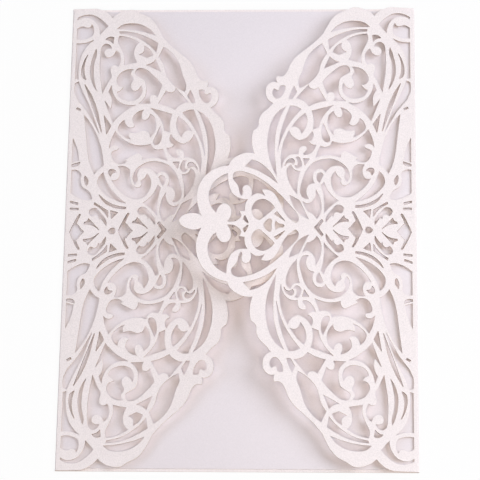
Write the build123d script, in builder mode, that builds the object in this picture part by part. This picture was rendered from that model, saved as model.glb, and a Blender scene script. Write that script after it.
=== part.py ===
# A laser-cut invitation: one sheet of pearl card, folded at both long sides into a back panel
# and two gate flaps that meet over a plain insert card. Millimetres, +Z up, +Y up the card,
# origin under the middle of the back panel.
from build123d import *
from math import asin, atan2, ceil, cos, hypot, pi, radians, sin, sqrt
import os

os.makedirs("parts", exist_ok=True)

# Driving dimensions
CARD_WIDTH = 130.0
CARD_HEIGHT = 180.0
PAPER = 0.3
FLAP_REACH = 87.75
RIGHT_RISE = 8.54
TAB_GAP = 0.22
INSERT_PAPER = 0.35
INSERT_SIDE_MARGIN = 1.5
INSERT_END_MARGIN = 1.0
FLAP_CLEARANCE = 0.25

# How finely a curve is cut into straight chords, so that the sheet stays light
CHORD_ERROR = 0.19
CHORD_TURN = 50.0
CHORD_SPARE = 0.25
SPAN_STEPS = 12

# The fold is a round bend, tall enough inside for the insert and its clearance
bend_inner = (INSERT_PAPER + FLAP_CLEARANCE) / 2
bend_outer = bend_inner + PAPER
bend_middle = bend_inner + PAPER / 2
half_width = CARD_WIDTH / 2
half_height = CARD_HEIGHT / 2
bend_centre_x = half_width - bend_outer

# The right flap rests open at its rise. The left one rises until its tab, which lies under
# the right flap, comes within the tab gap of it.
right_rise = radians(RIGHT_RISE)
tab_lift = CARD_WIDTH * sin(right_rise) - PAPER - TAB_GAP
left_rise = asin(tab_lift / FLAP_REACH) - right_rise

# The pattern is drawn on one quarter of a flap, as (across, up): across runs from the fold
# towards the middle of the card and up runs from the card's level axis. It is drawn for
# these sizes and stretched to the card's own.
DRAWN_REACH = 87.75
DRAWN_HALF_HEIGHT = 90.0
# The band along the axis repeats its motif at this pitch
BAND_PITCH = 18.15
# Nothing is cut nearer to the fold than this
FOLD_EDGE = 1.9

# An outline is a list of runs. Each run starts at a corner and goes on through smooth points
# to the first point of the next run; the last one closes at the first corner.

# The scalloped edge of the flap, from the top of the fold to the tip of the tab
EDGE = [
    [(9.0, 90.0), (11.5, 89.2), (13.0, 88.0)],
    [(15.35, 85.9), (18.0, 87.6), (20.0, 88.7), (22.4, 89.1), (24.6, 88.6)],
    [(26.3, 87.3), (29.0, 86.1), (31.6, 83.4), (33.6, 80.3)],
    [(34.9, 77.3), (37.2, 75.1), (40.0, 72.3), (42.0, 70.0), (44.1, 68.1), (46.3, 66.0),
     (47.4, 63.8), (48.4, 61.1), (50.0, 59.1)],
    [(52.2, 59.1), (52.5, 58.2)],
    [(52.1, 56.4), (54.2, 56.4), (55.8, 55.1), (56.5, 52.8), (56.1, 50.4), (55.2, 49.0)],
    [(53.6, 48.0), (54.5, 46.6), (56.6, 44.9), (58.5, 42.3), (59.1, 40.0)],
    [(59.0, 38.5), (60.8, 36.9), (61.4, 33.6), (61.1, 30.2)],
    [(60.4, 27.6), (63.4, 27.7), (66.6, 26.4), (69.0, 24.2)],
    [(69.8, 22.4), (73.6, 21.4), (76.9, 19.4), (79.6, 16.1), (81.1, 11.9), (81.2, 8.0)],
    [(79.5, 2.3), (81.6, 3.1), (84.4, 2.9), (86.8, 1.6)],
    [(87.75, 0.0)],
]

CUTS = {
    # Crest over the top of the flap
    "crest_arch": [
        [(13.7, 82.5), (10.8, 85.5), (7.4, 87.35), (3.8, 87.1)],
        [(FOLD_EDGE, 86.2)],
        [(FOLD_EDGE, 85.4), (5.0, 86.4), (7.7, 85.5), (9.6, 83.4)],
        [(10.8, 79.2), (12.0, 80.8)],
    ],
    "crest_root": [
        [(7.5, 83.4), (6.2, 82.0), (4.5, 82.6)],
        [(FOLD_EDGE, 81.7)],
        [(FOLD_EDGE, 77.5), (5.0, 77.7), (7.5, 78.4), (8.25, 80.2)],
    ],
    "crest_outer_slit": [
        [(31.9, 78.2), (30.2, 80.3), (27.1, 82.4), (22.5, 83.3), (19.1, 82.7)],
        [(17.25, 81.2), (20.5, 81.0), (25.0, 80.4), (29.3, 79.1)],
    ],
    "crest_inner_slit": [
        [(33.1, 74.9), (29.3, 77.2), (24.3, 79.3)],
        [(18.15, 80.1)],
        [(18.4, 79.3), (21.7, 78.8), (25.1, 77.4), (29.3, 74.6)],
        [(32.5, 71.1)],
    ],
    "crest_cell": [
        [(18.25, 78.3), (17.9, 75.5), (19.0, 73.3), (20.2, 70.6)],
        [(20.4, 66.3), (22.5, 67.0)],
        [(25.2, 67.3), (24.2, 69.7), (24.1, 72.5)],
        [(25.9, 75.4), (23.5, 76.8), (20.8, 77.9)],
    ],
    "crest_leaf": [
        [(16.1, 77.7), (15.0, 78.0)],
        [(13.1, 76.95), (14.8, 76.4)],
        [(15.8, 75.4)],
    ],
    "crest_pocket": [
        [(27.9, 73.9), (29.8, 72.5)],
        [(31.3, 70.0), (29.5, 69.1)],
        [(26.1, 70.4), (27.4, 71.1)],
    ],
    "crest_drop": [
        [(32.4, 68.1), (31.2, 67.0)],
        [(28.9, 66.1), (31.6, 64.8)],
        [(34.5, 63.2), (33.9, 65.4)],
    ],
    "shoulder_leaf": [
        [(35.3, 73.2), (38.6, 70.1), (41.1, 67.2), (41.8, 64.5), (42.7, 61.4), (44.1, 58.2)],
        [(43.7, 54.8), (41.5, 57.0), (38.8, 59.6)],
        [(36.7, 61.3), (36.2, 63.8), (35.2, 66.6)],
        [(33.5, 69.2), (34.1, 71.2)],
    ],
    # Curl and ribs that rise beside the fold
    "curl": [
        [(15.5, 73.3), (14.8, 74.5), (13.3, 75.2), (12.0, 74.5), (11.4, 72.0), (11.2, 66.9),
         (11.5, 60.5)],
        [(12.5, 55.0), (13.9, 58.6), (15.7, 61.6), (15.5, 63.3), (15.1, 64.9), (15.9, 66.2)],
        [(18.15, 65.8), (19.0, 68.0), (18.7, 70.6)],
        [(17.1, 72.2), (16.4, 71.0), (15.2, 69.7), (13.7, 69.65), (12.7, 71.0), (12.8, 72.4),
         (13.8, 72.95)],
    ],
    "fold_leaf": [
        [(8.3, 76.9), (5.8, 75.9)],
        [(FOLD_EDGE, 75.7)],
        [(FOLD_EDGE, 61.2)],
        [(3.1, 60.9), (2.9, 64.0), (3.3, 68.2), (4.7, 72.6), (6.4, 74.8)],
    ],
    "long_rib": [
        [(9.5, 73.2), (9.8, 71.9), (9.2, 69.2), (8.7, 65.0), (9.1, 60.4)],
        [(10.1, 56.2), (8.6, 58.8), (7.6, 62.0), (7.6, 66.5), (8.3, 70.0)],
    ],
    "short_rib": [
        [(6.3, 70.8), (5.6, 67.8), (5.1, 63.8)],
        [(5.95, 60.8), (4.7, 61.7), (4.2, 63.8), (4.7, 67.3)],
    ],
    # Rays and blades below them
    "upper_ray": [
        [(5.66, 58.7), (7.4, 56.2), (9.1, 51.8), (11.2, 46.3)],
        [(12.6, 39.4), (10.7, 44.9), (7.9, 52.0)],
    ],
    "lower_ray": [
        [(3.2, 60.0), (3.9, 57.9), (6.2, 53.5), (8.6, 48.0), (10.5, 42.7)],
        [(11.7, 38.9), (9.8, 42.5), (7.5, 46.8), (4.9, 50.7)],
        [(FOLD_EDGE, 55.4)],
        [(FOLD_EDGE, 59.4)],
    ],
    "ray_slot": [
        [(4.4, 48.7)],
        [(4.1, 48.2)],
        [(2.8, 48.9)],
        [(3.1, 49.4)],
    ],
    "long_blade": [
        [(5.9, 46.2), (6.2, 42.0), (7.1, 36.3), (7.9, 29.9), (9.1, 25.2)],
        [(10.4, 22.5), (11.6, 24.2)],
        [(13.9, 25.9), (13.3, 30.4), (12.0, 35.1), (9.4, 41.3)],
    ],
    "ray_wedge": [
        [(13.45, 45.8), (14.0, 42.2)],
        [(14.6, 38.7), (15.3, 40.3)],
        [(16.1, 41.7), (14.9, 43.6)],
    ],
    # Rosette and the shapes round it
    "rosette_ring": [
        [(23.9, 64.4), (21.6, 64.3), (19.1, 62.8), (17.8, 60.6), (18.3, 58.3)],
        [(20.4, 57.4), (19.7, 56.3)],
        [(18.15, 55.3), (19.1, 53.2), (21.4, 52.0), (24.3, 51.8), (26.5, 52.9), (27.6, 55.1)],
        [(27.1, 57.7), (26.4, 56.5), (24.9, 55.5), (23.4, 56.6), (23.3, 58.7), (24.1, 60.6),
         (23.1, 62.2)],
    ],
    "rosette_petal": [
        [(26.4, 50.5), (28.6, 50.5)],
        [(30.9, 50.4), (30.4, 52.2), (31.0, 53.6), (32.3, 53.8)],
        [(33.4, 52.8), (34.4, 54.8)],
        [(35.1, 57.7), (33.0, 60.4), (30.2, 62.9), (27.7, 64.6), (25.6, 64.6), (24.7, 62.8),
         (26.0, 61.3), (28.0, 60.3), (29.0, 57.4), (29.0, 53.8)],
    ],
    "ring_underside": [
        [(25.2, 49.9), (22.5, 49.8), (19.9, 50.7), (17.6, 52.8), (16.5, 55.6)],
        [(15.8, 58.0), (15.4, 57.0)],
        [(14.8, 55.5), (15.7, 54.2), (15.9, 51.5)],
        [(15.8, 48.6), (14.8, 49.6)],
        [(13.5, 51.8), (14.3, 48.9), (15.7, 45.5)],
        [(16.8, 43.1), (19.4, 46.0), (22.6, 48.5)],
    ],
    "star": [
        [(40.4, 56.2), (39.7, 54.9), (38.4, 54.5)],
        [(36.7, 55.3), (35.7, 53.3)],
        [(33.8, 50.1), (36.6, 49.4), (38.9, 48.4)],
        [(40.3, 47.6), (41.6, 49.1)],
        [(45.1, 50.5), (42.8, 53.6)],
    ],
    "star_leaf": [
        [(45.85, 55.3), (45.3, 53.9)],
        [(44.8, 53.0), (45.6, 51.5)],
        [(46.5, 50.1)],
        [(47.8, 50.2), (46.9, 52.4), (46.5, 54.4)],
    ],
    "edge_curl": [
        [(49.2, 55.15), (50.2, 55.05)],
        [(51.1, 54.9), (51.4, 53.6), (52.2, 53.2), (53.2, 53.8), (53.9, 52.8), (53.5, 50.9),
         (52.2, 49.95), (50.7, 50.8), (49.5, 52.9)],
    ],
    "inner_blade": [
        [(47.2, 47.3), (45.2, 47.2)],
        [(43.15, 46.2), (44.9, 43.9), (47.4, 40.6), (49.6, 36.3), (51.0, 31.9)],
        [(51.85, 28.9), (51.5, 32.9), (50.3, 38.2), (48.6, 43.9)],
    ],
    "outer_blade": [
        [(49.0, 46.8), (51.6, 44.6), (53.6, 42.2), (55.0, 37.6), (55.7, 32.5), (55.1, 27.2),
         (53.7, 22.6)],
        [(52.1, 19.2), (52.7, 24.0), (53.0, 29.5), (52.6, 36.3), (51.2, 41.8)],
    ],
    "fish": [
        [(41.6, 44.75), (40.9, 42.5), (41.2, 39.6)],
        [(42.95, 36.5), (43.7, 38.3), (45.2, 39.2)],
        [(46.7, 38.8), (44.4, 42.1)],
    ],
    "fish_back": [
        [(31.0, 48.45), (34.0, 47.7)],
        [(39.1, 45.8), (38.4, 42.5)],
        [(38.6, 38.5)],
        [(36.4, 39.3), (35.7, 42.2), (33.9, 45.4)],
    ],
    "fish_eye": [
        [(34.75, 41.0), (35.3, 38.6), (35.2, 35.7), (34.0, 33.8), (32.5, 34.0), (32.6, 35.9),
         (34.0, 38.6)],
    ],
    "tulip": [
        [(28.3, 47.75), (26.3, 46.9), (24.4, 45.2), (24.4, 43.3), (25.1, 41.4), (23.5, 40.7),
         (22.0, 41.7)],
        [(21.1, 43.9), (19.5, 42.2), (18.85, 40.4), (19.8, 38.8)],
        [(23.6, 36.2), (22.9, 37.8)],
        [(23.1, 39.1), (25.3, 38.6), (28.5, 39.5), (30.2, 39.0)],
        [(31.1, 36.8), (32.7, 39.0), (33.2, 42.2), (32.4, 44.8)],
        [(30.9, 46.1), (30.3, 44.6), (29.1, 43.6), (27.9, 44.2), (27.6, 46.0)],
    ],
    # Fan with the two leaves, and the pinwheel beside it
    "scroll_field": [
        [(47.6, 37.5), (46.2, 35.1), (43.9, 33.7), (41.3, 34.8)],
        [(39.0, 37.6), (38.5, 35.8), (39.1, 34.3)],
        [(40.3, 33.6), (39.2, 32.5)],
        [(37.5, 32.3), (38.6, 29.9), (40.6, 28.3), (42.2, 28.6), (41.1, 29.9), (41.1, 31.5),
         (42.6, 31.7), (43.5, 29.9)],
        [(44.1, 28.3), (46.9, 28.1), (49.1, 26.1)],
        [(50.15, 22.5), (50.6, 26.0), (49.9, 31.3), (48.8, 35.1)],
    ],
    "leaf_field": [
        [(17.9, 39.45), (16.9, 37.2), (16.0, 34.6)],
        [(15.75, 32.8), (16.9, 33.6), (18.4, 33.9), (19.4, 32.7), (18.4, 31.7), (17.1, 31.4),
         (17.1, 28.9), (18.6, 26.8), (20.9, 26.4)],
        [(22.6, 27.3)],
        [(21.6, 28.0), (24.4, 29.2), (26.7, 30.6), (28.0, 29.7)],
        [(28.35, 27.9), (31.8, 28.6), (34.9, 28.2)],
        [(37.7, 27.3), (36.7, 29.7)],
        [(35.95, 32.0), (34.4, 31.6), (32.6, 32.1)],
        [(31.5, 34.05), (28.8, 33.5), (25.6, 33.7), (21.9, 35.4)],
    ],
    "pinwheel_upper": [
        [(49.0, 23.5), (48.3, 25.2), (47.0, 26.3), (45.8, 26.1)],
        [(46.0, 24.2), (47.4, 24.9)],
    ],
    "pinwheel_inner": [
        [(45.0, 27.0), (44.1, 27.2), (43.0, 25.4), (43.0, 23.4), (44.4, 22.7)],
        [(45.45, 23.8), (44.5, 23.9), (44.8, 25.6)],
    ],
    "pinwheel_lower": [
        [(46.7, 23.9), (48.1, 22.6), (48.2, 19.9), (46.9, 16.0)],
        [(44.5, 12.7), (44.3, 17.6)],
        [(43.4, 21.6), (45.2, 21.9)],
    ],
    "pinwheel_wedge": [
        [(42.2, 26.6), (41.2, 26.3)],
        [(40.0, 26.6), (41.0, 25.1)],
        [(41.6, 24.2)],
    ],
    # Great scroll above the axis
    "great_scroll": [
        [(40.2, 11.0), (42.1, 11.3), (43.1, 12.8), (42.7, 17.6), (40.9, 22.4), (37.9, 25.6),
         (34.0, 26.9), (30.7, 26.9), (27.7, 25.4), (25.4, 22.7), (25.2, 19.5)],
        [(25.9, 18.3)],
        [(26.8, 19.8), (26.4, 21.8), (27.7, 24.2), (30.6, 24.5), (32.9, 23.2)],
        [(33.9, 21.75), (35.2, 22.9), (37.2, 22.7), (38.6, 20.5)],
        [(38.1, 17.2), (39.8, 16.7), (40.9, 15.0)],
    ],
    "scroll_bean": [
        [(34.75, 20.6), (35.6, 21.4), (36.9, 20.9), (37.2, 19.3)],
        [(36.2, 17.4), (35.6, 19.1)],
    ],
    "scroll_bowl": [
        [(19.4, 25.35), (22.4, 25.1), (23.85, 23.6), (23.9, 20.9), (25.2, 17.6), (27.2, 16.8),
         (28.4, 18.2)],
        [(28.1, 19.4), (29.5, 20.6)],
        [(30.3, 22.2), (31.8, 19.5), (31.4, 16.0), (29.5, 13.2), (26.5, 12.3), (23.2, 13.3),
         (19.9, 16.3)],
        [(17.1, 20.0), (19.1, 20.1), (20.2, 22.4)],
    ],
    "scroll_heart": [
        [(18.65, 23.2), (17.4, 24.2), (16.2, 24.1)],
        [(16.7, 21.6), (17.2, 22.8)],
    ],
    "scroll_stem": [
        [(34.5, 17.7)],
        [(35.5, 16.6), (34.7, 13.3), (34.5, 9.6)],
        [(34.4, 5.8), (31.9, 8.7)],
        [(29.2, 10.85), (31.4, 12.5), (33.3, 15.3)],
    ],
    "scroll_seed": [
        [(42.3, 9.8), (40.3, 9.1), (38.2, 10.9)],
        [(37.5, 14.6), (36.2, 11.5), (35.4, 8.1), (35.9, 5.2)],
        [(37.1, 3.35), (38.9, 5.4)],
        [(40.8, 6.2)],
    ],
    "scroll_blade": [
        [(47.2, 12.0), (45.2, 10.85)],
        [(43.6, 10.2), (42.2, 7.3)],
        [(40.2, 3.1), (41.9, 3.7), (44.5, 7.7)],
    ],
    "crescent": [
        [(13.8, 23.1), (12.3, 21.4), (11.8, 18.9), (13.3, 16.2), (17.4, 12.8)],
        [(22.6, 10.8), (19.1, 13.9), (15.9, 18.0)],
    ],
    "crescent_slit": [
        [(22.7, 9.2), (19.0, 9.9), (15.8, 11.9)],
        [(12.6, 14.3), (14.5, 11.5), (18.0, 9.4)],
        [(22.7, 8.6)],
    ],
    "hook_slit": [
        [(11.0, 11.25), (13.4, 9.4)],
        [(16.0, 7.9), (16.1, 6.7)],
        [(16.1, 5.5), (14.8, 7.5), (12.6, 9.4)],
        [(10.8, 10.6)],
    ],
    "hook_wedge": [
        [(19.7, 7.2)],
        [(17.1, 8.0), (17.1, 6.6)],
        [(17.5, 5.0)],
    ],
    "fold_slot": [
        [(7.0, 21.9)],
        [(6.85, 21.3), (7.3, 19.3)],
        [(7.7, 18.2)],
        [(8.0, 18.7), (7.6, 20.7)],
    ],
    "fold_shell": [
        [(FOLD_EDGE, 24.3), (4.2, 24.1), (5.4, 22.9), (5.3, 20.2), (6.2, 17.4)],
        [(8.4, 16.0)],
        [(10.0, 12.8), (7.6, 12.4), (4.7, 13.5)],
        [(FOLD_EDGE, 15.3)],
    ],
    "fold_sliver": [
        [(FOLD_EDGE, 36.9), (3.0, 34.8), (3.8, 30.9)],
        [(4.5, 28.3)],
        [(FOLD_EDGE, 27.5)],
    ],
    "fold_tick": [
        [(4.8, 27.4)],
        [(FOLD_EDGE, 26.6)],
        [(FOLD_EDGE, 26.0)],
        [(4.6, 26.8)],
    ],
    "upper_dash": [
        [(4.7, 11.3)],
        [(FOLD_EDGE, 12.1)],
        [(FOLD_EDGE, 11.5)],
        [(4.6, 10.7)],
    ],
    "lower_dash": [
        [(4.9, 9.2)],
        [(FOLD_EDGE, 9.4)],
        [(FOLD_EDGE, 8.8)],
        [(4.9, 8.6)],
    ],
    # Clasp: the ring at the end of the flap
    "clasp_ring": [
        [(70.15, 19.2), (72.6, 18.0), (75.1, 15.7), (76.8, 12.0), (76.8, 8.0)],
        [(74.2, 3.9), (73.5, 5.7), (71.9, 7.5), (69.9, 7.2), (68.5, 4.9), (68.8, 3.0)],
        [(70.0, 0.7), (67.4, 1.3), (65.2, 2.4)],
        [(65.9, 4.9)],
        [(63.7, 5.1), (63.5, 7.8)],
        [(62.7, 9.5), (65.3, 9.7), (68.1, 11.3), (69.7, 14.9)],
    ],
    "clasp_fan": [
        [(68.2, 17.7), (68.1, 19.2), (66.6, 20.2), (64.0, 20.1), (58.0, 17.8), (52.0, 13.2),
         (47.6, 8.6), (44.4, 4.7), (43.8, 3.2), (44.1, 2.0)],
        [(45.0, 1.3), (48.1, 3.9), (50.3, 7.9), (52.6, 12.2), (55.2, 13.8)],
        [(57.6, 13.6)],
        [(56.4, 11.4), (58.8, 12.2)],
        [(61.3, 11.0), (61.4, 13.8), (63.0, 15.2), (64.7, 13.9), (64.4, 12.0), (65.0, 10.9),
         (65.5, 12.3), (66.6, 15.6)],
    ],
    "clasp_feather": [
        [(61.4, 25.1), (58.6, 24.2), (54.9, 21.2)],
        [(51.8, 16.5), (56.0, 19.5), (61.0, 21.8)],
        [(63.8, 22.4)],
    ],
    "clasp_pearl": [
        [(52.7, 6.8), (54.6, 9.0), (57.4, 9.9), (60.0, 8.6), (61.1, 5.8), (60.2, 2.8),
         (58.2, 1.9), (55.9, 4.2)],
    ],
    "clasp_thorn": [
        [(52.7, 4.5)],
        [(51.8, 5.3)],
        [(49.0, 2.0)],
    ],
    "clasp_tear": [
        [(63.5, 3.5), (64.0, 1.9), (62.9, 0.5), (61.8, 0.8)],
    ],
}

# Shapes of the axis band that repeat towards the fold
BAND_CUTS = {
    "band_hook": [
        [(33.7, 2.2), (33.9, 2.9), (33.0, 4.9), (31.2, 7.5), (29.0, 9.2), (27.3, 8.3),
         (28.2, 6.0), (29.7, 6.5)],
        [(31.0, 4.6)],
        [(31.7, 5.1), (32.6, 4.2)],
    ],
    "band_sprig": [
        [(31.0, 0.7), (29.0, 2.8), (27.7, 4.5)],
        [(27.1, 5.05), (26.3, 3.8)],
        [(25.5, 3.5)],
        [(25.5, 3.0), (27.2, 2.9)],
    ],
}

# Shapes that lie across the axis, each given by its upper half from one axis point to the other
AXIS_CUTS = {
    "band_bead": [
        [(16.4, 0.0), (17.2, 1.0), (18.4, 1.2)],
        [(19.1, 0.0)],
    ],
    "band_chevron": [
        [(38.0, 0.0), (36.4, 1.8)],
        [(35.3, 3.2)],
        [(34.8, 2.6), (35.6, 1.4)],
        [(36.55, 0.0)],
    ],
    "band_arrow": [
        [(49.1, 0.0)],
        [(49.5, 0.5), (50.7, 0.6)],
        [(52.2, 1.7)],
        [(52.5, 0.0)],
    ],
    "band_petal": [
        [(56.8, 0.0), (55.5, 1.9), (54.4, 2.5)],
        [(53.9, 0.0)],
    ],
}
BAND_AXIS_CUTS = {
    "band_diamond": [
        [(20.1, 0.0), (21.7, 3.0), (23.5, 6.6)],
        [(24.1, 6.8)],
        [(22.7, 3.2)],
        [(23.9, 2.3)],
        [(25.7, 0.0)],
    ],
}


def smooth(points):
    """A fine line along the smooth curve through points: a cubic on each span."""
    spans = [hypot(bx - ax, by - ay) for (ax, ay), (bx, by) in zip(points, points[1:])]
    slopes = [
        ((bx - ax) / span, (by - ay) / span)
        for (ax, ay), (bx, by), span in zip(points, points[1:], spans)
    ]
    tangents = []
    for before, after, left, right in zip(slopes, slopes[1:], spans, spans[1:]):
        share = left / (left + right)
        tangents.append(tuple(b * (1 - share) + a * share for b, a in zip(before, after)))
    first = tuple(2 * s - t for s, t in zip(slopes[0], tangents[0]))
    last = tuple(2 * s - t for s, t in zip(slopes[-1], tangents[-1]))
    tangents = [first, *tangents, last]
    fine = []
    for index, span in enumerate(spans):
        for step in range(SPAN_STEPS):
            t = step / SPAN_STEPS
            weights = (
                (1 + 2 * t) * (1 - t) ** 2,
                t * (1 - t) ** 2 * span,
                t * t * (3 - 2 * t),
                t * t * (t - 1) * span,
            )
            knots = (points[index], tangents[index], points[index + 1], tangents[index + 1])
            fine.append(tuple(sum(w * k[axis] for w, k in zip(weights, knots)) for axis in (0, 1)))
    return fine + [points[-1]]


def turn_at(before, here, after):
    """How far the line turns at the middle one of three points, in radians."""
    heading_in = atan2(here[1] - before[1], here[0] - before[0])
    heading_out = atan2(after[1] - here[1], after[0] - here[0])
    return abs((heading_out - heading_in + pi) % (2 * pi) - pi)


def chords(start, through, end):
    """The run from start up to end as chords, set closer where its smooth curve bends more."""
    if not through:
        return [start]
    fine = smooth([start, *through, end])
    counted = [0.0]
    for before, here, after in zip(fine, fine[1:], fine[2:]):
        turn = turn_at(before, here, after)
        length = hypot(after[0] - before[0], after[1] - before[1]) / 2
        by_error = sqrt(turn * length / (8 * CHORD_ERROR))
        counted.append(counted[-1] + max(by_error, turn / radians(CHORD_TURN)))
    pieces = max(1, ceil(counted[-1] - CHORD_SPARE))
    kept = [start]
    for here, count in zip(fine, counted):
        if len(kept) < pieces and count >= counted[-1] * len(kept) / pieces:
            kept.append(here)
    return kept


def polygon(runs):
    """The closed outline of a list of runs."""
    outline = []
    for run, following in zip(runs, runs[1:] + runs[:1]):
        outline += chords(run[0], run[1:], following[0])
    return outline


def half_polygon(runs):
    """The upper half of an outline across the axis, from one axis point to the other."""
    outline = []
    for run, following in zip(runs, runs[1:]):
        outline += chords(run[0], run[1:], following[0])
    return outline + [runs[-1][0]]


def mirrored(points):
    """The points below the axis that match those above it, in turning order."""
    return [(across, -up) for across, up in reversed(points)]


def shifted(points, across_by):
    """The points moved along the axis."""
    return [(across + across_by, up) for across, up in points]


def joined(upper):
    """The whole outline of a shape across the axis."""
    return upper + mirrored(upper[1:-1])


# Every cut-out of one flap
upper_cuts = [polygon(runs) for runs in CUTS.values()]
for motif in (polygon(runs) for runs in BAND_CUTS.values()):
    upper_cuts += [motif, shifted(motif, -BAND_PITCH)]
axis_cuts = [joined(half_polygon(runs)) for runs in AXIS_CUTS.values()]
for motif in (joined(half_polygon(runs)) for runs in BAND_AXIS_CUTS.values()):
    axis_cuts += [motif, shifted(motif, -BAND_PITCH)]
cuts = upper_cuts + [mirrored(outline) for outline in upper_cuts] + axis_cuts

# The card's own size over the size that the pattern is drawn for
stretch_across = FLAP_REACH / DRAWN_REACH
stretch_up = half_height / DRAWN_HALF_HEIGHT


def stretched(points):
    """Points of the drawing at the card's own size."""
    return [(across * stretch_across, up * stretch_up) for across, up in points]


def flap_face(flat_start):
    """The pierced outline of a flap, from the line where its fold ends."""
    edge = stretched(half_polygon(EDGE))
    upper = [(flat_start, half_height)] + edge
    rim = upper + mirrored(upper[:-1])
    return Face(Wire.make_polygon(rim), [Wire.make_polygon(stretched(cut)) for cut in cuts])


def flap_plane(side, rise):
    """The middle plane of a flap, its x axis running from the fold at side across the card."""
    fold_height = bend_outer + bend_middle * cos(rise)
    fold_x = bend_centre_x + bend_middle * sin(rise)
    drop = (half_width - fold_x) * sin(rise) / cos(rise)
    return Plane(
        origin=(side * half_width, 0, fold_height - drop),
        x_dir=(-side * cos(rise), 0, sin(rise)),
        z_dir=(side * sin(rise), 0, cos(rise)),
    )


def flat_start_of(rise):
    """How far from the fold line, along the flap, its flat starts."""
    return (half_width - bend_centre_x - bend_middle * sin(rise)) / cos(rise)


def bend_end(side, rise, radius):
    """The point at this radius where the fold passes into the flap."""
    return (side * (bend_centre_x + radius * sin(rise)), bend_outer + radius * cos(rise))


def bend_mid(side, rise, radius):
    """The point at this radius half way round the fold."""
    half_turn = (radians(180) - rise) / 2
    return (
        side * (bend_centre_x + radius * sin(half_turn)),
        bend_outer - radius * cos(half_turn),
    )


def bend_foot(side, radius):
    """The point at this radius where the back panel passes into the fold."""
    return (side * bend_centre_x, bend_outer - radius)


RIGHT = 1
LEFT = -1

# Wrap: back panel, two folds and two pierced flaps, all of one sheet
with BuildPart() as wrap:
    with BuildSketch(Plane.XZ) as section:
        with BuildLine():
            Line(bend_foot(LEFT, bend_outer), bend_foot(RIGHT, bend_outer))
            ThreePointArc(
                bend_foot(RIGHT, bend_outer),
                bend_mid(RIGHT, right_rise, bend_outer),
                bend_end(RIGHT, right_rise, bend_outer),
            )
            Line(bend_end(RIGHT, right_rise, bend_outer), bend_end(RIGHT, right_rise, bend_inner))
            ThreePointArc(
                bend_end(RIGHT, right_rise, bend_inner),
                bend_mid(RIGHT, right_rise, bend_inner),
                bend_foot(RIGHT, bend_inner),
            )
            Line(bend_foot(RIGHT, bend_inner), bend_foot(LEFT, bend_inner))
            ThreePointArc(
                bend_foot(LEFT, bend_inner),
                bend_mid(LEFT, left_rise, bend_inner),
                bend_end(LEFT, left_rise, bend_inner),
            )
            Line(bend_end(LEFT, left_rise, bend_inner), bend_end(LEFT, left_rise, bend_outer))
            ThreePointArc(
                bend_end(LEFT, left_rise, bend_outer),
                bend_mid(LEFT, left_rise, bend_outer),
                bend_foot(LEFT, bend_outer),
            )
        make_face()
    extrude(amount=half_height, both=True)
    for side, rise in ((RIGHT, right_rise), (LEFT, left_rise)):
        with BuildSketch(flap_plane(side, rise)):
            add(flap_face(flat_start_of(rise)))
        extrude(amount=PAPER / 2, both=True)
wrap.part.label = "wrap"
export_step(wrap.part, "parts/wrap.step")

# Insert card: a plain card that lies on the back panel between the folds
with BuildPart() as insert_card:
    with BuildSketch(Plane.XY.offset(PAPER)):
        Rectangle(CARD_WIDTH - 2 * INSERT_SIDE_MARGIN, CARD_HEIGHT - 2 * INSERT_END_MARGIN)
    extrude(amount=INSERT_PAPER)
insert_card.part.label = "insert_card"
export_step(insert_card.part, "parts/insert_card.step")
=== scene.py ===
# A laser-cut invitation card: a pearl paper wrap with two pierced flaps, and a plain insert card.
# Lengths are metres unless a name says otherwise. +Z is up out of the card's face and +Y is
# towards its top edge.
from math import atan2, ceil, cos, pi, radians, sin

import bmesh
import bpy
from mathutils import Matrix, Vector
from mathutils.geometry import delaunay_2d_cdt, intersect_point_line


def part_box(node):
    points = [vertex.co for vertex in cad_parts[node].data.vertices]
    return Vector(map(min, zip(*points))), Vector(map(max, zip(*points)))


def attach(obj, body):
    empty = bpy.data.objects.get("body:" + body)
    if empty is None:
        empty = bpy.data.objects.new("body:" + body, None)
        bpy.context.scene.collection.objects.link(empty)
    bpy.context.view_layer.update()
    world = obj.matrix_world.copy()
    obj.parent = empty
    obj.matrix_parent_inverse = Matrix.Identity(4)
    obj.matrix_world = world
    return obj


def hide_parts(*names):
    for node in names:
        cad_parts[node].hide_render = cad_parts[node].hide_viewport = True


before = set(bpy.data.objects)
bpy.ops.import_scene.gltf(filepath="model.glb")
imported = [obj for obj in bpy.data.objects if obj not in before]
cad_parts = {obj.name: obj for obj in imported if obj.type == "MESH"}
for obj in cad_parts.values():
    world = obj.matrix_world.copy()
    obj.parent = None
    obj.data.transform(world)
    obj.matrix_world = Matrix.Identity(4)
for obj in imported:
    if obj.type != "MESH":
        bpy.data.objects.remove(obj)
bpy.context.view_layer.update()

MM = 0.001
WRAP_PAPER = 0.3 * MM
INSERT_SOFTENING = 0.06 * MM
SOFTENING_STEPS = 2
# Points that are nearer to each other than this are one point
MERGE = 0.001 * MM
SMOOTH_ANGLE = radians(32)

# How the faces of the solid are told apart by their normals: a flap's top leans to its side by
# LEANING or more, a face looks the way of an axis from FACING on, and faces lie in one plane
# where their normals agree from IN_PLANE on
LEANING = 0.02
FACING = 0.9
IN_PLANE = 0.99999

# What makes a point of an outline a real corner: a sharp turn, or a lesser turn where the lines
# on both sides are so long that an arc through the point would bow out by more than CORNER_BOW
SHARP_TURN = radians(72)
LESSER_TURN = radians(35)
CORNER_BOW = 0.27 * MM
# A smooth stretch gets a new point for each such turn, but no closer than the shortest step
STEP_TURN = radians(9)
SHORTEST_STEP = 0.16 * MM
# A cut is wider all round by half the beam that made it, and its tips are round
HALF_BEAM = 0.09 * MM
ARC_STEP = radians(30)
# How many points away an outline is looked at for where its wider copy runs into itself, and
# how much of its distance a point of the copy has to keep there
NEIGHBOURS = 14
CLEAR_SHARE = 0.97
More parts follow.
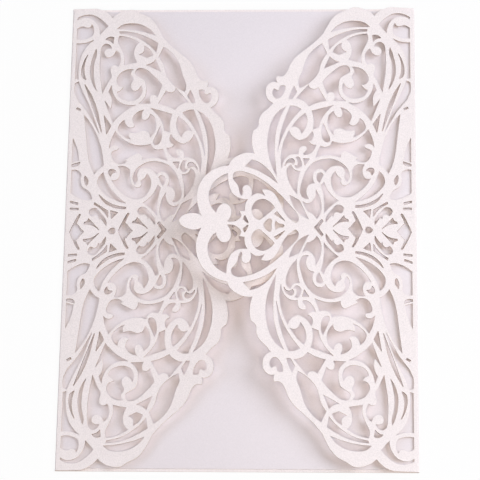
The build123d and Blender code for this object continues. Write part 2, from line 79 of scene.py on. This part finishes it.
# A cut that is narrower than this on average gets darker walls, and its top is browned this far: part
# laser scorch, part painted shade of the narrow slit
NARROW = 1.12 * MM
SCORCH_AND_SHADE_MARGIN = 0.06 * MM
# Kind of triangulation that keeps what is inside an outline and leaves its holes open, and how
# near to each other it takes points to be one
INSIDE_WITH_HOLES = 2
NEARNESS = MERGE / 10

# Cuts with a finer drawing than the solid has, as smooth runs between corners, in millimetres.
# A bow is drawn on one side of the middle line, from its point nearest to the fold, and a
# sliver from the fold. Start and reach say which cuts of the solid they stand for, and NEAR_MM
# how closely a cut has to match them.
BOW_STARTS = (1.4, 19.55)
BOW_REACH = 6.8
BOW_SIDE = (
    ((0.1, 0.0), (0.6, 1.35), (1.25, 2.75), (2.0, 4.35), (2.8, 5.85), (3.35, 6.7)),
    ((3.35, 6.7), (3.7, 6.85), (3.9, 6.55)),
    ((3.9, 6.55), (3.2, 5.25), (2.7, 4.0), (2.4, 3.05)),
    ((2.4, 3.05), (3.2, 2.5)),
    ((3.2, 2.5), (4.05, 1.3), (5.3, 0.0)),
)
SLIVER_STARTS = (61.05,)
SLIVER_REACH = 3.5
SLIVER_OUTLINE = (
    ((61.85, 0.65), (62.15, 0.5)),
    ((62.15, 0.5), (62.95, 1.2), (63.6, 1.85)),
    ((63.6, 1.85), (63.45, 2.5), (63.15, 3.1)),
    ((63.15, 3.1), (62.95, 3.05)),
    ((62.95, 3.05), (62.6, 2.3), (62.25, 1.55), (61.85, 0.65)),
)
NEAR_MM = 0.15

# Colours of the papers
PEARL_COLOUR = (0.930, 0.856, 0.858)
CUT_COLOUR = (0.60, 0.43, 0.31)
# Browned top margin and near-black walls of narrow cuts: partly laser scorch, partly painted shade of
# the shadow inside the slits
SCORCH_AND_SHADE_COLOUR = (0.38, 0.225, 0.13)
BURN_AND_SHADE_COLOUR = (0.10, 0.050, 0.028)
SMOKED_COLOUR = (0.84, 0.715, 0.62)
INSERT_COLOUR = (0.874, 0.815, 0.858)

# Grain of the papers: how many flecks, fibres and changes of tone a metre holds, and how many
# finer layers each has
FLECKS_PER_METRE = 2400.0
FLECK_DETAIL = 2.0
FIBRES_PER_METRE = 900.0
FIBRE_DETAIL = 5.0
TONES_PER_METRE = 22.0
TONE_DETAIL = 1.0
NOISE_MEAN = 0.5
# How much a fleck changes the roughness, and its height beside that of the fibres
FLECK_ROUGHNESS = 0.3
FLECK_HEIGHT = 0.4

# Gloss of the papers
SPECULAR_LEVEL = 0.35
COAT_ROUGHNESS = 0.45
SHEEN_ROUGHNESS = 0.4

# Places of a flap's materials: a rim face takes its top face's place plus RIM, and a face of
# the underside takes it plus UNDERSIDE
PEARL_TOP = 0
# Top of the browned margin round narrow cuts, part scorch and part painted shade
SCORCH_AND_SHADE_TOP = 3
RIM = 1
UNDERSIDE = 2

# Where the camera stands, as its turns about the point that it looks at
TARGET = Vector((0.0000005, -0.002622, 0.0))
CAMERA_DISTANCE = 0.85679
CAMERA_TILT = radians(18.734)
CAMERA_YAW = radians(2.5154)
CAMERA_ROLL = radians(0.8533)
LENS_MM = 174.335
SENSOR_MM = 36.0

# Floor and light. The floor is plain white by its white share and paint with shadows for the rest
FLOOR_SIZE = 6.0
FLOOR_DROP = 0.02 * MM
FLOOR_COLOUR = (0.95, 0.95, 0.95)
FLOOR_ROUGHNESS = 0.9
FLOOR_WHITE_SHARE = 0.90
LAMP_DISTANCE = 1.3
WORLD_COLOUR = (0.925, 0.955, 1.0)
WORLD_LIGHT = 0.092


def deselect_all():
    """Leaves nothing selected."""
    bpy.ops.object.select_all(action="DESELECT")


def choose(*objects):
    """Selects these objects alone, the last one active."""
    deselect_all()
    for obj in objects:
        obj.select_set(True)
        bpy.context.view_layer.objects.active = obj


def new_object(name, mesh, materials):
    """A mesh's object in the scene, with its materials."""
    for material in materials:
        mesh.materials.append(material)
    made = bpy.data.objects.new(name, mesh)
    bpy.context.scene.collection.objects.link(made)
    return made


# Paper


def paper_grain_group():
    """Fine flecks, fibres and slow changes of tone over a sheet of paper."""
    group = bpy.data.node_groups.new("paper_grain", "ShaderNodeTree")
    nodes = group.nodes
    link = group.links.new

    def socket(name, kind, way):
        return group.interface.new_socket(name=name, in_out=way, socket_type=kind)

    socket("Colour", "NodeSocketColor", "INPUT")
    for name in ("Fleck", "Tone", "Roughness"):
        socket(name, "NodeSocketFloat", "INPUT")
    socket("Colour", "NodeSocketColor", "OUTPUT")
    for name in ("Roughness", "Height"):
        socket(name, "NodeSocketFloat", "OUTPUT")
    given = nodes.new("NodeGroupInput").outputs
    result = nodes.new("NodeGroupOutput").inputs
    place = nodes.new("ShaderNodeTexCoord").outputs["Object"]

    def noise(per_metre, detail):
        made = nodes.new("ShaderNodeTexNoise")
        made.inputs["Scale"].default_value = per_metre
        made.inputs["Detail"].default_value = detail
        link(place, made.inputs["Vector"])
        return made.outputs["Fac"]

    def math(operation, *values):
        made = nodes.new("ShaderNodeMath")
        made.operation = operation
        for entry, value in zip(made.inputs, values):
            if isinstance(value, float):
                entry.default_value = value
            else:
                link(value, entry)
        return made.outputs[0]

    fleck = math("SUBTRACT", noise(FLECKS_PER_METRE, FLECK_DETAIL), NOISE_MEAN)
    tone = math("SUBTRACT", noise(TONES_PER_METRE, TONE_DETAIL), NOISE_MEAN)
    fibre = noise(FIBRES_PER_METRE, FIBRE_DETAIL)
    change = math("MULTIPLY_ADD", fleck, given["Fleck"], math("MULTIPLY", tone, given["Tone"]))
    shade = nodes.new("ShaderNodeVectorMath")
    shade.operation = "SCALE"
    link(given["Colour"], shade.inputs[0])
    link(math("ADD", change, 1.0), shade.inputs["Scale"])
    link(shade.outputs[0], result["Colour"])
    link(math("MULTIPLY_ADD", fleck, FLECK_ROUGHNESS, given["Roughness"]), result["Roughness"])
    link(math("MULTIPLY_ADD", fleck, FLECK_HEIGHT, fibre), result["Height"])
    return group


paper_grain = paper_grain_group()


def paper(name, colour, fleck, tone, roughness, relief, coat=0.0, sheen=0.0):
    """A paper's material. Its relief is the height of its grain."""
    made = bpy.data.materials.new(name)
    made.use_nodes = True
    nodes = made.node_tree.nodes
    link = made.node_tree.links.new
    grain = nodes.new("ShaderNodeGroup")
    grain.node_tree = paper_grain
    grain.inputs["Colour"].default_value = (*colour, 1.0)
    grain.inputs["Fleck"].default_value = fleck
    grain.inputs["Tone"].default_value = tone
    grain.inputs["Roughness"].default_value = roughness
    bump = nodes.new("ShaderNodeBump")
    bump.inputs["Distance"].default_value = relief
    shader = nodes["Principled BSDF"]
    shader.inputs["Specular IOR Level"].default_value = SPECULAR_LEVEL
    shader.inputs["Coat Weight"].default_value = coat
    shader.inputs["Coat Roughness"].default_value = COAT_ROUGHNESS
    shader.inputs["Sheen Weight"].default_value = sheen
    shader.inputs["Sheen Roughness"].default_value = SHEEN_ROUGHNESS
    link(grain.outputs["Height"], bump.inputs["Height"])
    link(grain.outputs["Colour"], shader.inputs["Base Color"])
    link(grain.outputs["Roughness"], shader.inputs["Roughness"])
    link(bump.outputs["Normal"], shader.inputs["Normal"])
    return made


pearl = paper(
    "pearl_paper",
    PEARL_COLOUR,
    fleck=0.36,
    tone=0.06,
    roughness=0.46,
    relief=0.010 * MM,
    coat=0.12,
    sheen=0.05,
)
cut_edge = paper(
    "cut_paper_edge", CUT_COLOUR, fleck=0.25, tone=0.10, roughness=0.85, relief=0.020 * MM
)
# Browned margin and near-black walls of narrow cuts: partly laser scorch, partly painted shade of the
# slits
scorch_and_shade_top = paper(
    "scorch_and_shade_paper", SCORCH_AND_SHADE_COLOUR, fleck=0.30, tone=0.10, roughness=0.70, relief=0.015 * MM
)
burn_and_shade_edge = paper(
    "burn_and_shade_paper_edge", BURN_AND_SHADE_COLOUR, fleck=0.25, tone=0.10, roughness=0.85, relief=0.020 * MM
)
smoked = paper(
    "smoked_paper", SMOKED_COLOUR, fleck=0.20, tone=0.30, roughness=0.60, relief=0.010 * MM
)
plain = paper(
    "insert_paper",
    INSERT_COLOUR,
    fleck=0.13,
    tone=0.04,
    roughness=0.62,
    relief=0.008 * MM,
    sheen=0.03,
)


# Outlines of the flaps


def is_corner(before, here, after):
    """Whether an outline has a real corner at here."""
    turn = (here - before).angle(after - here)
    mean_length = ((here - before).length + (after - here).length) / 2
    # An arc bows out by an eighth of its chord times its turn
    bow = mean_length * turn / 8
    return turn > SHARP_TURN or turn > LESSER_TURN and bow > CORNER_BOW


def tangents_of(points, closed):
    """The direction of the smooth curve at each point of a run."""
    ahead = points[1:] + points[:1] if closed else points[1:]
    steps = [there - here for here, there in zip(points, ahead)]
    slopes = [step.normalized() for step in steps]
    if len(points) == 2:
        return [slopes[0], slopes[0]]
    tangents = []
    for index in range(0 if closed else 1, len(steps)):
        share = steps[index - 1].length / (steps[index - 1].length + steps[index].length)
        tangents.append(slopes[index - 1].lerp(slopes[index], share))
    if not closed:
        tangents.insert(0, 2 * slopes[0] - tangents[0])
        tangents.append(2 * slopes[-1] - tangents[-1])
    return tangents


def smooth_run(points, closed=False):
    """The points of a run with more between them, on a smooth curve through them all."""
    tangents = tangents_of(points, closed)
    if closed:
        points = points + points[:1]
        tangents = tangents + tangents[:1]
    fine = []
    for index in range(len(points) - 1):
        here, there = points[index : index + 2]
        leave, arrive = tangents[index : index + 2]
        step = there - here
        turn = leave.angle(step, 0.0) + arrive.angle(step, 0.0)
        pieces = max(1, min(ceil(turn / STEP_TURN), ceil(step.length / SHORTEST_STEP)))
        for piece in range(pieces):
            t = piece / pieces
            fine.append(
                here * ((1 + 2 * t) * (1 - t) ** 2)
                + leave * (t * (1 - t) ** 2 * step.length)
                + there * (t * t * (3 - 2 * t))
                + arrive * (t * t * (t - 1) * step.length)
            )
    return fine if closed else fine + points[-1:]


def smooth_outline(points, is_straight):
    """A closed outline with its smooth stretches refined and its corners kept."""
    count = len(points)
    corners = []
    for index, point in enumerate(points):
        if is_straight(point) or is_corner(points[index - 1], point, points[(index + 1) % count]):
            corners.append(index)
    if not corners:
        return smooth_run(points, closed=True)
    fine = []
    for start, end in zip(corners, corners[1:] + corners[:1]):
        length = (end - start) % count or count
        run = [points[(start + step) % count] for step in range(length + 1)]
        fine += smooth_run(run)[:-1]
    return fine


def sides_of(outline):
    """The two ends of each side of a closed outline."""
    return zip(outline, outline[1:] + outline[:1])


def signed_area(outline):
    """The area inside an outline, less than 0 where it runs clockwise."""
    return sum(here.cross(there) for here, there in sides_of(outline)) / 2


def is_narrow(outline):
    """Whether a cut is a narrow one, by its mean width."""
    length = sum((there - here).length for here, there in sides_of(outline))
    # A long cut is as wide as its area divided by half the length of its outline
    return abs(signed_area(outline)) < NARROW * length / 2


def is_cut(points, starts, reach):
    """Whether a cut starts at one of these distances from the fold and has this reach."""
    start = min(p.x for p in points) / MM
    tip = max(abs(p.y) for p in points) / MM
    return abs(tip - reach) < NEAR_MM and any(abs(start - place) < NEAR_MM for place in starts)


def finer_cut(points):
    """The outline of a cut that has a finer drawing here, or nothing for any other."""
    if is_cut(points, BOW_STARTS, BOW_REACH):
        start = min(p.x for p in points)
        side = [[Vector((start + u * MM, v * MM)) for u, v in run] for run in BOW_SIDE]
        other = [[Vector((p.x, -p.y)) for p in reversed(run)] for run in reversed(side)]
        runs = side + other
    elif is_cut(points, SLIVER_STARTS, SLIVER_REACH):
        hand = MM if sum(p.y for p in points) > 0 else -MM
        runs = [[Vector((u * MM, v * hand)) for u, v in run] for run in SLIVER_OUTLINE]
    else:
        return []
    outline = [point for run in runs for point in smooth_run(run)[:-1]]
    # The paper is on the left of a cut's outline, so the outline runs clockwise
    if signed_area(outline) > 0:
        outline.reverse()
    return outline


def is_clear(point, start, end, distance):
    """Whether a point keeps its distance from the line between two others."""
    share = intersect_point_line(point, start, end)[1]
    nearest = start.lerp(end, min(max(share, 0.0), 1.0))
    return (point - nearest).length > CLEAR_SHARE * distance


def widened(points, distance):
    """A cut's outline moved into the paper by a distance, with round tips."""
    count = len(points)
    wide = []
    for index, here in enumerate(points):
        arrive = (here - points[index - 1]).normalized()
        leave = (points[(index + 1) % count] - here).normalized()
        turn = atan2(arrive.cross(leave), arrive.dot(leave))
        if turn < -ARC_STEP:
            pieces = ceil(-turn / ARC_STEP)
            moves = [Matrix.Rotation(turn * piece / pieces, 2) @ arrive for piece in range(pieces + 1)]
        else:
            moves = [(arrive + leave).normalized() / cos(turn / 2)]
        near = [points[(index + step) % count] for step in range(-NEIGHBOURS, NEIGHBOURS + 1)]
        for move in moves:
            moved = here + Vector((-move.y, move.x)) * distance
            if all(is_clear(moved, *ends, distance) for ends in zip(near, near[1:])):
                wide.append(moved)
    return wide


def borders(faces):
    """The closed borders of a set of faces, each as its vertices in order."""
    inside = set(faces)
    after = {}
    for face in faces:
        for loop in face.loops:
            if not inside.issuperset(loop.edge.link_faces):
                after[loop.vert] = loop.link_loop_next.vert
    outlines = []
    while after:
        start, here = after.popitem()
        outline = [start]
        while here is not start:
            outline.append(here)
            here = after.pop(here)
        outlines.append(outline)
    return outlines


# The wrap


def filled(outlines):
    """The points and triangles of a sheet between outlines, open inside the inner ones."""
    points = []
    loops = []
    for outline in outlines:
        loops.append(list(range(len(points), len(points) + len(outline))))
        points += outline
    made = delaunay_2d_cdt(points, [], loops, INSIDE_WITH_HOLES, NEARNESS)
    return made[0], made[2]


def flap_top(shape, side):
    """The top faces of the flap on one side, and their normal."""
    leaning = [f for f in shape.faces if side * f.normal.x > LEANING and f.normal.z > FACING]
    normal = max(leaning, key=lambda f: f.calc_area()).normal.copy()
    return [f for f in leaning if f.normal.dot(normal) > IN_PLANE], normal


def flap_outlines(faces, up, across, fold):
    """The outlines of a flap's sheet of paper, and those of the browned margins in it, which are
    partly scorch and partly painted shade.
    """
    top_edge = max(vert.co.y for face in faces for vert in face.verts)

    def is_straight(point):
        return point.x < MERGE or abs(point.y) > top_edge - MERGE

    sheet = []
    scorched_and_shaded = []
    for border in borders(faces):
        flat = [Vector(((vert.co - fold).dot(across), vert.co.dot(up))) for vert in border]
        redrawn = finer_cut(flat)
        fine = redrawn or smooth_outline(flat, is_straight)
        is_hole = min(p.x for p in flat) > MERGE
        if is_hole:
            fine = widened(fine, HALF_BEAM)
            # Narrow and redrawn cuts get a browned margin: part scorch, part painted shade of the slit
            if redrawn or is_narrow(fine):
                scorched_and_shaded.append(fine)
                fine = widened(fine, SCORCH_AND_SHADE_MARGIN)
                scorched_and_shaded.append(fine)
        sheet.append(fine)
    return sheet, scorched_and_shaded


def drop_faces(mesh, is_dropped):
    """Takes the faces that a test names out of a mesh."""
    shape = bmesh.new()
    shape.from_mesh(mesh)
    bmesh.ops.delete(shape, geom=[f for f in shape.faces if is_dropped(f)], context="FACES")
    shape.to_mesh(mesh)
    shape.free()


def flap_sheet(name, faces, normal, across, fold):
    """A flap as a sheet of paper with smooth outlines, open where it meets its fold."""
    up = normal.cross(across)
    sheet, scorched_and_shaded = flap_outlines(faces, up, across, fold)
    shape = bmesh.new()
    for outlines, material in ((sheet, PEARL_TOP), (scorched_and_shaded, SCORCH_AND_SHADE_TOP)):
        places, triangles = filled(outlines)
        verts = [shape.verts.new(fold + across * p.x + up * p.y) for p in places]
        for triangle in triangles:
            shape.faces.new([verts[corner] for corner in triangle]).material_index = material
    bmesh.ops.remove_doubles(shape, verts=shape.verts, dist=MERGE)
    mesh = bpy.data.meshes.new(name)
    shape.to_mesh(mesh)
    shape.free()
    # Pearl top, cut rim and smoked underside, then the same for the browned margins, whose top and
    # near-black rim are partly painted shade
    flap = new_object(name, mesh, (pearl, cut_edge, smoked, scorch_and_shade_top, burn_and_shade_edge, smoked))
    choose(flap)
    bpy.ops.object.modifier_add(type="SOLIDIFY")
    thicken = flap.modifiers[-1]
    thicken.thickness = WRAP_PAPER
    thicken.offset = -1.0
    thicken.material_offset_rim = RIM
    thicken.material_offset = UNDERSIDE
    bpy.ops.object.modifier_apply(modifier=thicken.name)
    drop_faces(flap.data, lambda face: all((v.co - fold).dot(across) < MERGE for v in face.verts))
    return flap


def build_wrap(solid):
    """The whole folded sheet: back panel, two folds and two flaps."""
    shape = bmesh.new()
    shape.from_mesh(solid)
    bmesh.ops.remove_doubles(shape, verts=shape.verts, dist=MERGE)
    flaps = []
    for name, side in (("right_flap", 1), ("left_flap", -1)):
        top, normal = flap_top(shape, side)
        across = Vector((-side * normal.z, 0.0, abs(normal.x)))
        outer = max((v.co for f in top for v in f.verts), key=lambda co: side * co.x)
        fold = Vector((outer.x, 0.0, outer.z))
        flaps.append(flap_sheet(name, top, normal, across, fold))

        def is_in_flap(vert):
            away = vert.co - fold
            depth = -away.dot(normal)
            return away.dot(across) > -MERGE and -MERGE < depth < WRAP_PAPER + MERGE

        gone = [f for f in shape.faces if all(is_in_flap(v) for v in f.verts)]
        bmesh.ops.delete(shape, geom=gone, context="FACES")
    for face in shape.faces:
        face.material_index = RIM if abs(face.normal.y) > FACING else PEARL_TOP
    body = bpy.data.meshes.new("folded_wrap")
    shape.to_mesh(body)
    shape.free()
    wrap = new_object("folded_wrap", body, (pearl, cut_edge))
    choose(*flaps, wrap)
    bpy.ops.object.join()
    bpy.ops.object.mode_set(mode="EDIT")
    bpy.ops.mesh.select_all(action="SELECT")
    bpy.ops.mesh.remove_doubles(threshold=MERGE)
    bpy.ops.mesh.normals_make_consistent(inside=False)
    bpy.ops.object.mode_set(mode="OBJECT")
    bpy.ops.object.shade_smooth_by_angle(angle=SMOOTH_ANGLE)
    return wrap


wrap = build_wrap(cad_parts["wrap"].data)
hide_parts("wrap")
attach(wrap, "root")


# The insert card


def build_insert():
    """A plain card with edges just softened by the cutter."""
    low, high = (Vector(corner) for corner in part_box("insert_card"))
    deselect_all()
    bpy.ops.mesh.primitive_cube_add(size=1.0, location=(low + high) / 2)
    card = bpy.context.object
    card.name = "plain_insert"
    card.scale = high - low
    bpy.ops.object.transform_apply(location=True, rotation=True, scale=True)
    bpy.ops.object.modifier_add(type="BEVEL")
    soften = card.modifiers[-1]
    soften.width = INSERT_SOFTENING
    soften.segments = SOFTENING_STEPS
    bpy.ops.object.modifier_apply(modifier=soften.name)
    bpy.ops.object.shade_smooth_by_angle(angle=SMOOTH_ANGLE)
    card.data.materials.append(plain)
    return card


insert = build_insert()
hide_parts("insert_card")
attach(insert, "root")


# Camera


def build_camera():
    """The camera, turned about its target, tilted towards the card's lower edge."""
    away = Vector(
        (
            sin(CAMERA_YAW) * cos(CAMERA_TILT),
            -sin(CAMERA_TILT),
            cos(CAMERA_YAW) * cos(CAMERA_TILT),
        )
    )
    level = Vector((0.0, 1.0, 0.0)).cross(away).normalized()
    turned = Matrix((level, away.cross(level), away)).transposed()
    data = bpy.data.cameras.new("camera")
    data.lens = LENS_MM
    data.sensor_width = SENSOR_MM
    data.sensor_fit = "HORIZONTAL"
    camera = bpy.data.objects.new("camera", data)
    turn = turned @ Matrix.Rotation(CAMERA_ROLL, 3, "Z")
    camera.matrix_world = Matrix.Translation(TARGET + away * CAMERA_DISTANCE) @ turn.to_4x4()
    bpy.context.scene.collection.objects.link(camera)
    bpy.context.scene.camera = camera


build_camera()


# Floor and light


def build_floor():
    """A white floor that keeps a faint shadow of the card."""
    deselect_all()
    bpy.ops.mesh.primitive_plane_add(size=FLOOR_SIZE, location=(0.0, 0.0, -FLOOR_DROP))
    floor = bpy.context.object
    floor.name = "floor"
    paint = bpy.data.materials.new("white_floor")
    paint.use_nodes = True
    nodes = paint.node_tree.nodes
    link = paint.node_tree.links.new
    matte = nodes["Principled BSDF"]
    matte.inputs["Base Color"].default_value = (*FLOOR_COLOUR, 1.0)
    matte.inputs["Roughness"].default_value = FLOOR_ROUGHNESS
    matte.inputs["Specular IOR Level"].default_value = 0.0
    glow = nodes.new("ShaderNodeEmission")
    ray = nodes.new("ShaderNodeLightPath").outputs
    seen = ray["Is Camera Ray"]
    for other in ("Is Glossy Ray", "Is Transmission Ray"):
        either = nodes.new("ShaderNodeMath")
        either.operation = "MAXIMUM"
        link(seen, either.inputs[0])
        link(ray[other], either.inputs[1])
        seen = either.outputs[0]
    share = nodes.new("ShaderNodeMath")
    share.operation = "MULTIPLY"
    share.inputs[1].default_value = FLOOR_WHITE_SHARE
    mix = nodes.new("ShaderNodeMixShader")
    link(seen, share.inputs[0])
    link(share.outputs[0], mix.inputs["Fac"])
    link(matte.outputs[0], mix.inputs[1])
    link(glow.outputs[0], mix.inputs[2])
    link(mix.outputs[0], nodes["Material Output"].inputs["Surface"])
    floor.data.materials.append(paint)


def area_light(name, azimuth, elevation, size, level, colour):
    """A square soft light at LAMP_DISTANCE that looks at the card.

    Its level is what it adds to a white sheet that lies flat, where 1 is white. Azimuth 0 is
    towards +X and 90 towards +Y, in degrees.
    """
    up, turn = radians(elevation), radians(azimuth)
    away = Vector((cos(up) * cos(turn), cos(up) * sin(turn), sin(up)))
    added_by_a_watt = sin(up) / (pi * LAMP_DISTANCE) ** 2
    data = bpy.data.lights.new(name, "AREA")
    data.size = size
    data.energy = level / added_by_a_watt
    data.color = colour
    light = bpy.data.objects.new(name, data)
    light.location = away * LAMP_DISTANCE
    light.rotation_euler = away.to_track_quat("Z", "Y").to_euler()
    bpy.context.scene.collection.objects.link(light)


def build_world():
    """A dim, slightly cool light from all round."""
    world = bpy.data.worlds.new("studio")
    world.use_nodes = True
    sky = world.node_tree.nodes["Background"].inputs
    sky["Color"].default_value = (*WORLD_COLOUR, 1.0)
    sky["Strength"].default_value = WORLD_LIGHT
    bpy.context.scene.world = world


build_floor()
area_light("key", azimuth=5, elevation=42, size=0.9, level=0.472, colour=(0.885, 0.924, 1.0))
area_light("front", azimuth=272, elevation=70, size=0.6, level=0.373, colour=(1.0, 0.90, 0.76))
area_light("top_side", azimuth=95, elevation=38, size=0.6, level=0.092, colour=(0.92, 0.955, 1.0))
area_light("far_side", azimuth=180, elevation=35, size=0.6, level=0.103, colour=(0.74, 0.81, 1.0))
build_world()
bpy.context.scene.view_settings.view_transform = "Standard"
